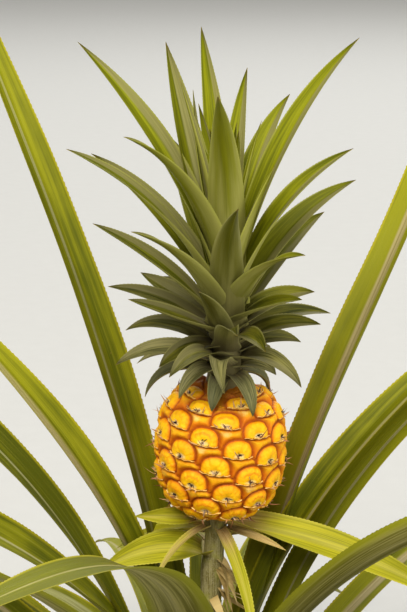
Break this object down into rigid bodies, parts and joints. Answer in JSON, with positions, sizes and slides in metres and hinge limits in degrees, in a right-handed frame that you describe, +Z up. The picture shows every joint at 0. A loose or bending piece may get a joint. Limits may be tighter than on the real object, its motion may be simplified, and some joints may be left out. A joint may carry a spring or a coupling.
{
  "type": "pineapple plant",
  "caption": "Low tropical plant with a rosette of long arching leaves on a short stem and an upright stalk that bears one ripe orange-yellow fruit under a leafy crown.",
  "frame": {"origin": "centre of the flat cut under the stem, at ground level", "axes": "+Z up along the stem, -Y towards the plant's front as in the picture, +X to the picture's right"},
  "size_m": [1.28, 1.2972, 0.8858],
  "materials": {
    "stem": "rough fibrous bark of old leaf bases",
    "stalk": "mealy grey-green, satin",
    "fruit": "waxy, semi-gloss rind",
    "crown": "leaf with a silvery bloom, satin",
    "leaf": "leaf, satin",
    "bract": "leaf, partly dry, matte"
  },
  "bodies": {
    "root": {"stem": "stem", "fruit_stalk": "stalk", "bract_01": "bract", "bract_02": "bract", "bract_03": "bract", "bract_04": "bract", "bract_05": "bract", "bract_06": "bract", "bract_07": "bract", "bract_08": "bract", "bract_09": "bract", "bract_10": "bract", "leaf_01": "leaf", "leaf_02": "leaf", "leaf_03": "leaf", "leaf_04": "leaf", "leaf_05": "leaf", "leaf_06": "leaf", "leaf_07": "leaf", "leaf_08": "leaf", "leaf_09": "leaf", "leaf_10": "leaf", "leaf_11": "leaf", "leaf_12": "leaf", "leaf_13": "leaf", "leaf_14": "leaf", "leaf_15": "leaf", "leaf_16": "leaf", "leaf_17": "leaf", "leaf_18": "leaf", "leaf_19": "leaf", "leaf_20": "leaf", "leaf_21": "leaf", "leaf_22": "leaf", "leaf_23": "leaf", "leaf_24": "leaf", "leaf_25": "leaf", "leaf_26": "leaf", "leaf_27": "leaf", "leaf_28": "leaf", "leaf_29": "leaf", "leaf_30": "leaf", "leaf_31": "leaf", "leaf_32": "leaf", "fruit": "fruit", "crown_tier_1": "crown", "crown_tier_2": "crown", "crown_tier_3": "crown", "crown_tier_4": "crown", "crown_tier_5": "crown", "crown_tier_6": "crown", "crown_tier_7": "crown", "crown_tier_8": "crown"}
  },
  "joints": []
}
